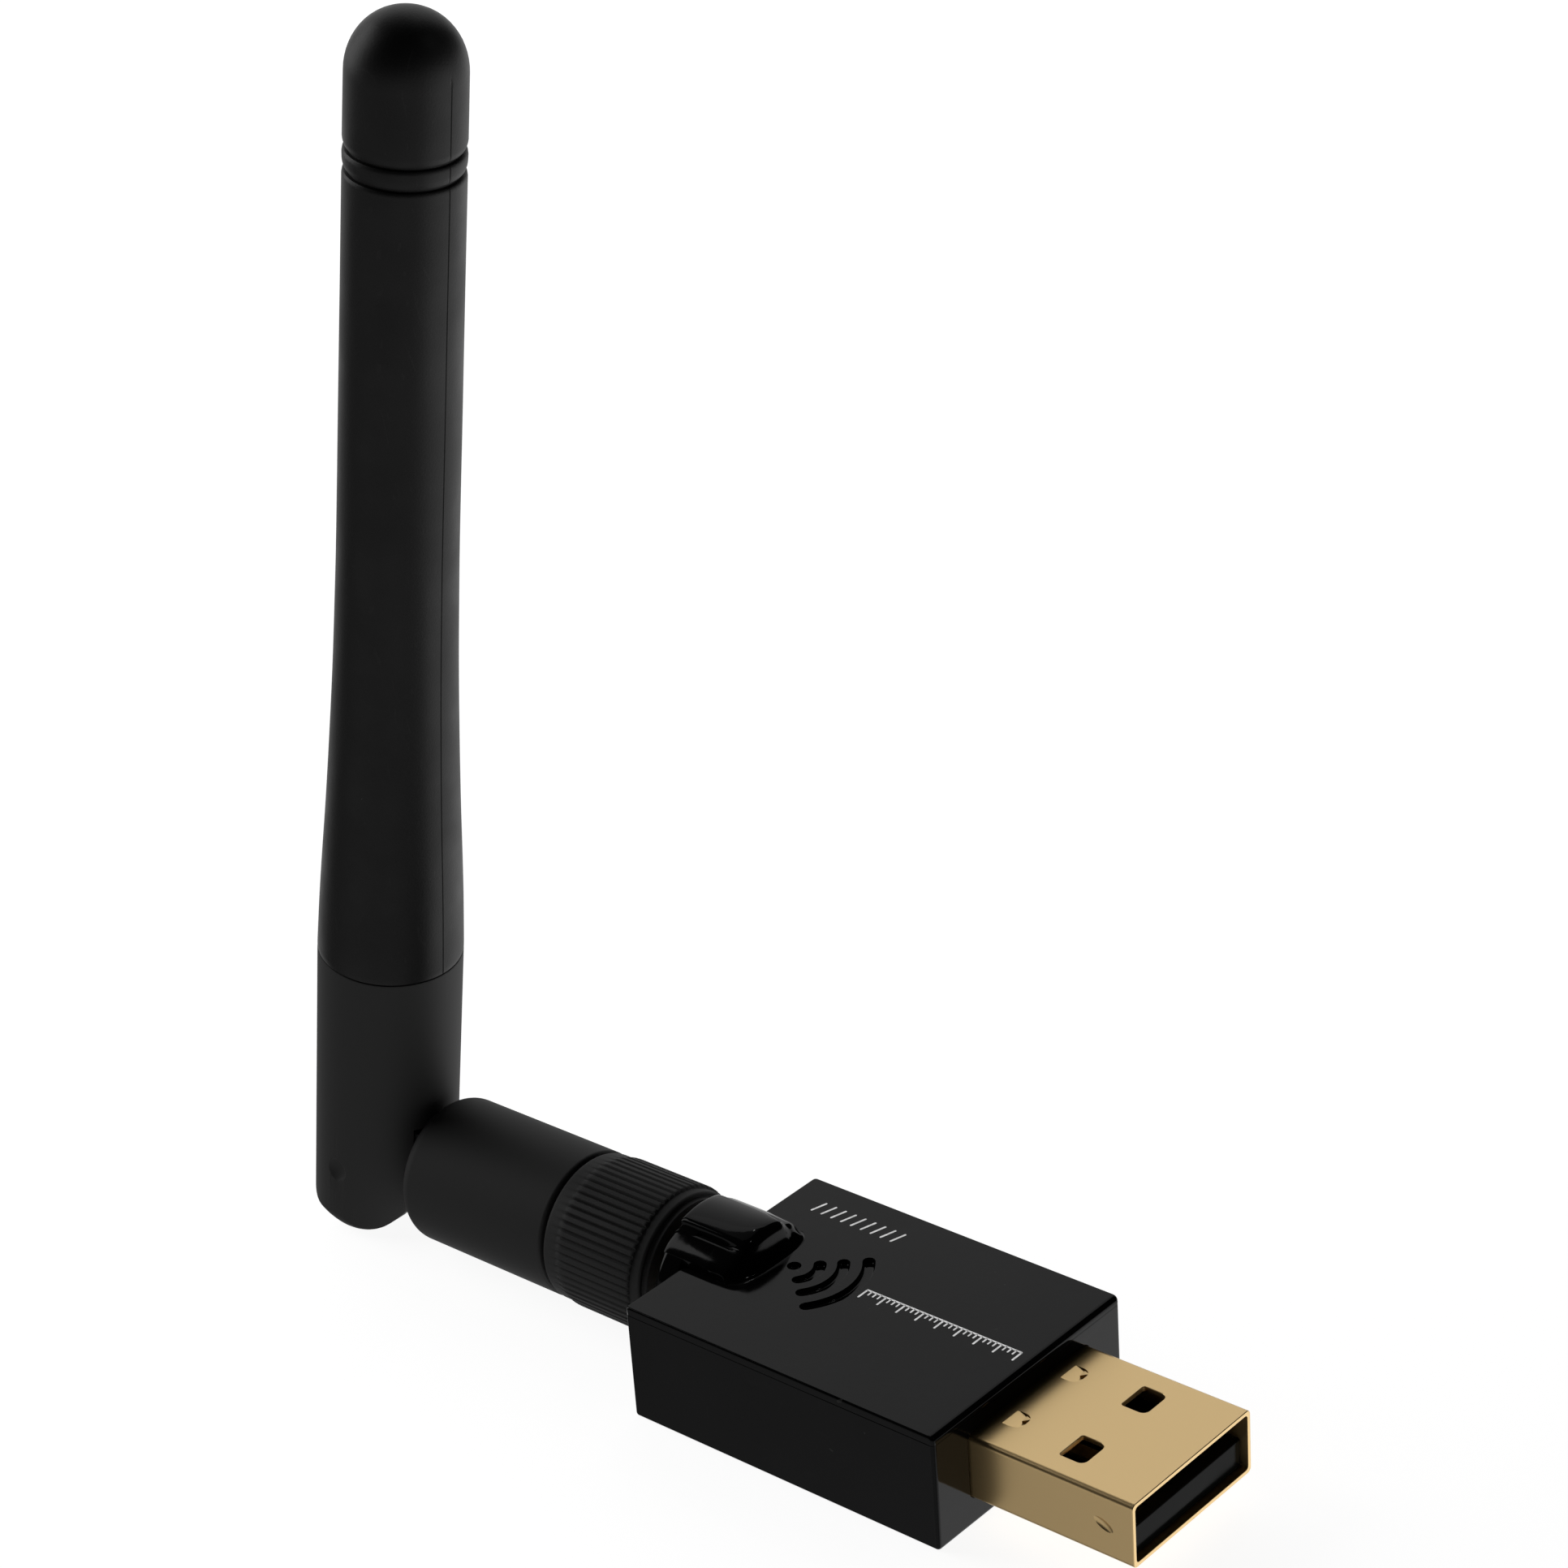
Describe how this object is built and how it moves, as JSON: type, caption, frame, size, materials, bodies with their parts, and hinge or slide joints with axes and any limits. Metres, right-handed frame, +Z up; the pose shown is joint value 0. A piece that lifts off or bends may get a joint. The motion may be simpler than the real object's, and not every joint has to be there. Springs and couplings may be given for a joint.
{
  "type": "usb wifi adapter",
  "caption": "USB Wi-Fi adapter: black housing on a gold type A plug, with a screw-on rod antenna that swivels and folds up from its knurled connector",
  "frame": {"origin": "middle of the housing's flat bottom face", "axes": "+X along the housing towards the tip of the USB plug, +Y across the housing, +Z up, away from the bottom face; at rest the antenna is folded up"},
  "size_m": [0.0726, 0.0186, 0.0866],
  "materials": {
    "housing": "gloss black, injection moulded",
    "plug_gold": "gold plated sheet metal, satin",
    "plug_insulator": "black moulded insulator",
    "contact_gold": "gold plated contact",
    "board": "green solder mask on glass-epoxy",
    "chip": "black moulding compound",
    "metal_can": "nickel plated can",
    "ceramic": "tan ceramic",
    "jack_gold": "gold plated brass",
    "insulator": "white fluoropolymer",
    "brass": "plain brass",
    "steel": "spring steel",
    "cable": "brown miniature coaxial cable",
    "satin_black": "satin black, fine moulded texture",
    "sheath": "satin black thermoplastic rubber"
  },
  "bodies": {
    "adapter": {"housing_base": "housing", "housing_top": "housing", "jack_turret": "housing", "usb_shell": "plug_gold", "usb_tongue": "plug_insulator", "usb_contact_power": "contact_gold", "usb_contact_data_minus": "contact_gold", "usb_contact_data_plus": "contact_gold", "usb_contact_ground": "contact_gold", "main_board": "board", "wifi_chip": "chip", "crystal": "metal_can", "power_inductor": "chip", "front_end_module": "chip", "band_splitter": "ceramic", "capacitor_1": "ceramic", "capacitor_2": "ceramic", "capacitor_3": "ceramic", "capacitor_4": "ceramic", "capacitor_5": "ceramic", "capacitor_6": "ceramic", "jack_shell": "jack_gold", "jack_insulator": "insulator", "jack_pin": "contact_gold"},
    "connector": {"connector_ferrule": "brass", "connector_insulator": "insulator", "connector_socket": "contact_gold", "retaining_ring": "steel", "coax_lead": "cable"},
    "nut": {"coupling_nut": "satin_black", "nut_insert": "brass"},
    "swivel": {"swivel_base": "satin_black"},
    "antenna": {"hinge_pin": "steel", "antenna_knuckle": "satin_black", "antenna_sheath": "sheath", "coax_feed": "cable", "radiator_sleeve": "brass", "radiator_tip": "brass"}
  },
  "joints": [
    {"name": "connector_unscrew", "type": "slide", "parent": "adapter", "child": "connector", "axis": [-1, 0, 0], "range_m": [0, 0.006]},
    {"name": "nut_spin", "type": "hinge", "parent": "connector", "child": "nut", "pos_m": [-0.0193, 0, 0.0052], "axis": [-1, 0, 0], "range_deg": [0, 3065]},
    {"name": "base_swivel", "type": "hinge", "parent": "connector", "child": "swivel", "pos_m": [-0.0306, 0, 0.0052], "axis": [-1, 0, 0], "range_deg": [-180, 180]},
    {"name": "antenna_fold", "type": "hinge", "parent": "swivel", "child": "antenna", "pos_m": [-0.04324, 0, 0.0052], "axis": [0, -1, 0], "range_deg": [0, 99.75]}
  ],
  "couplings": [
    {"joint": "nut_spin", "follows": "connector_unscrew", "rad_per_m": 8904.7}
  ]
}
